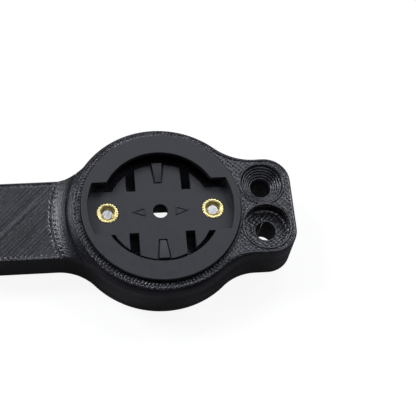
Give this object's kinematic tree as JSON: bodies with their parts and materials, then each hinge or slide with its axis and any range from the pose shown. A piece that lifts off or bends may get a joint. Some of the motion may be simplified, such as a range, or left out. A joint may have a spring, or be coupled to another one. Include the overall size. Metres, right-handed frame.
{
  "type": "bike computer wall mount",
  "caption": "Printed wall bracket with a round head, a long arm and a lug with screw holes, holding a moulded quarter-turn socket with brass inserts.",
  "frame": {"origin": "on the socket's axis, at the mouth of the centre hole in the socket's floor", "axes": "+Z out of the wall along the socket's axis, +X towards the lug with the two screw holes, -X along the arm, +Y towards the countersunk hole's side"},
  "size_m": [0.0778, 0.0406, 0.0123],
  "materials": {
    "printed_plastic": "black printed plastic with fine layer lines and a slight sheen",
    "moulded_plastic": "smooth satin black moulded plastic",
    "brass": "bright knurled brass",
    "screw_steel": "plain bright screw steel"
  },
  "bodies": {
    "root": {"bracket": "printed_plastic", "quarter_turn_socket": "moulded_plastic", "brass_insert_left": "brass", "brass_insert_right": "brass", "screw_left": "screw_steel", "screw_right": "screw_steel"}
  },
  "joints": []
}
